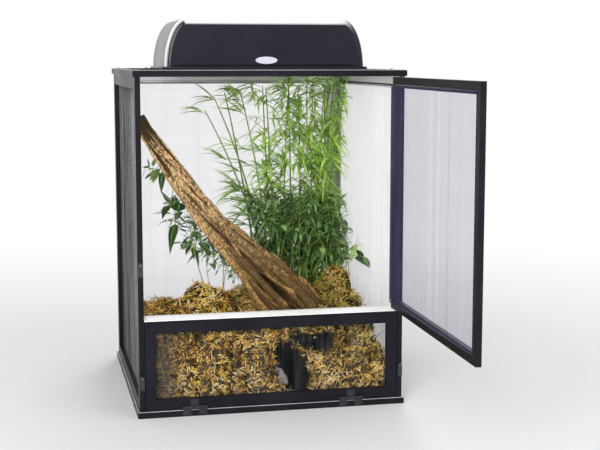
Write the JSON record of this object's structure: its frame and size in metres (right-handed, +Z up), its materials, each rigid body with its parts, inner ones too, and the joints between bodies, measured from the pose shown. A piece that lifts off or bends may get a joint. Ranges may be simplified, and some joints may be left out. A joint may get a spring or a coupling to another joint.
{
  "type": "reptile terrarium",
  "caption": "Upright screened cage for climbing reptiles, with a tall side-hinged door, a drop-down lower door, a lamp hood on top and a planted interior.",
  "frame": {"origin": "centre of the cage's base, on the plane it stands on", "axes": "+X to the right seen from the doors, +Y from the doors to the back, +Z up"},
  "size_m": [0.4086, 0.7903, 0.5842],
  "materials": {
    "base_trim": "satin black anodised bar, worn brighter on its bevel",
    "base_sheet": "fine-grained black sheet",
    "frame_bars": "satin black anodised bar with faint drawing lines",
    "back_bars": "black outside, pale lacquer on the face towards the inside",
    "door_bars": "satin black anodised bar with faint drawing lines",
    "screen_cloth": "woven aluminium wire, dull grey",
    "spline_cord": "ribbed black cord",
    "corner_key": "moulded black",
    "sill": "gloss white",
    "screws": "blackened",
    "hinges": "satin black",
    "latches": "moulded black",
    "hood_enamel": "satin powder coat, blue-black",
    "badge": "plain silver-grey plate",
    "reflector": "bright folded sheet",
    "lamp_ceramic": "unglazed",
    "lamp_glass": "opal tubes on a moulded base",
    "gland": "moulded",
    "switch": "moulded rocker",
    "bark_bedding": "bark chips and dry moss, golden brown",
    "moss": "matted strands, golden to olive",
    "driftwood": "weathered, long dark grain",
    "bamboo": "fine narrow leaves, yellow green to dark green",
    "vine": "broad dark leaves, waxy"
  },
  "bodies": {
    "root": {"base_rails": "base_trim", "base_panel": "base_sheet", "left_bottom_rail": "frame_bars", "left_front_stile": "frame_bars", "left_top_rail": "frame_bars", "left_rear_stile": "frame_bars", "right_bottom_rail": "frame_bars", "right_front_stile": "frame_bars", "right_top_rail": "frame_bars", "right_rear_stile": "frame_bars", "back_bottom_rail": "back_bars", "back_left_stile": "back_bars", "back_top_rail": "back_bars", "back_right_stile": "back_bars", "top_front_rail": "frame_bars", "top_left_rail": "frame_bars", "top_rear_rail": "frame_bars", "top_right_rail": "frame_bars", "wall_screens": "screen_cloth", "top_screen": "screen_cloth", "cage_splines": "spline_cord", "cage_corner_keys": "corner_key", "front_crossbar": "frame_bars", "sill_strip": "sill", "front_bottom_rail": "frame_bars", "frame_screws": "screws", "fixed_hinge_leaves": "hinges", "bedding": "bark_bedding", "moss": "moss", "driftwood": "driftwood", "bamboo_plant": "bamboo", "vine_plant": "vine"},
    "upper_door": {"upper_door_bottom_rail": "door_bars", "upper_door_latch_stile": "door_bars", "upper_door_top_rail": "door_bars", "upper_door_hinge_stile": "door_bars", "upper_door_screen": "screen_cloth", "upper_door_spline": "spline_cord", "upper_door_corner_keys": "corner_key", "upper_door_hinge_leaves": "hinges"},
    "lower_door": {"lower_door_bottom_rail": "door_bars", "lower_door_left_stile": "door_bars", "lower_door_top_rail": "door_bars", "lower_door_right_stile": "door_bars", "lower_door_screen": "screen_cloth", "lower_door_spline": "spline_cord", "lower_door_corner_keys": "corner_key", "lower_door_hinge_leaves": "hinges"},
    "upper_latch": {"upper_latch": "latches"},
    "lower_latch_left": {"lower_latch_left": "latches"},
    "lower_latch_right": {"lower_latch_right": "latches"},
    "hood": {"hood_front": "hood_enamel", "hood_back": "hood_enamel", "hood_wrap": "hood_enamel", "hood_badge": "badge", "hood_reflector": "reflector", "lamp_holders": "lamp_ceramic", "lamps": "lamp_glass", "cord_gland": "gland"},
    "switch": {"rocker_switch": "switch"}
  },
  "joints": [
    {"name": "upper_door_swing", "type": "hinge", "parent": "root", "child": "upper_door", "pos_m": [0.1917, -0.203, 0.324], "axis": [0, 0, 1], "range_deg": [-89, 61]},
    {"name": "lower_door_drop", "type": "hinge", "parent": "root", "child": "lower_door", "pos_m": [0, -0.203, 0.0132], "axis": [1, 0, 0], "range_deg": [0, 90]},
    {"name": "upper_latch_turn", "type": "hinge", "parent": "root", "child": "upper_latch", "pos_m": [-0.196, -0.202, 0.228], "axis": [0, -1, 0], "range_deg": [0, 90]},
    {"name": "lower_latch_left_turn", "type": "hinge", "parent": "root", "child": "lower_latch_left", "pos_m": [-0.196, -0.202, 0.06], "axis": [0, -1, 0], "range_deg": [0, 90]},
    {"name": "lower_latch_right_turn", "type": "hinge", "parent": "root", "child": "lower_latch_right", "pos_m": [0.196, -0.202, 0.06], "axis": [0, 1, 0], "range_deg": [0, 90]},
    {"name": "hood_lift", "type": "slide", "parent": "root", "child": "hood", "axis": [0, 0, 1], "range_m": [0, 0.12]},
    {"name": "switch_rock", "type": "hinge", "parent": "hood", "child": "switch", "pos_m": [0.116, 0.09, 0.5382], "axis": [1, 0, 0], "range_deg": [-14, 0]}
  ]
}
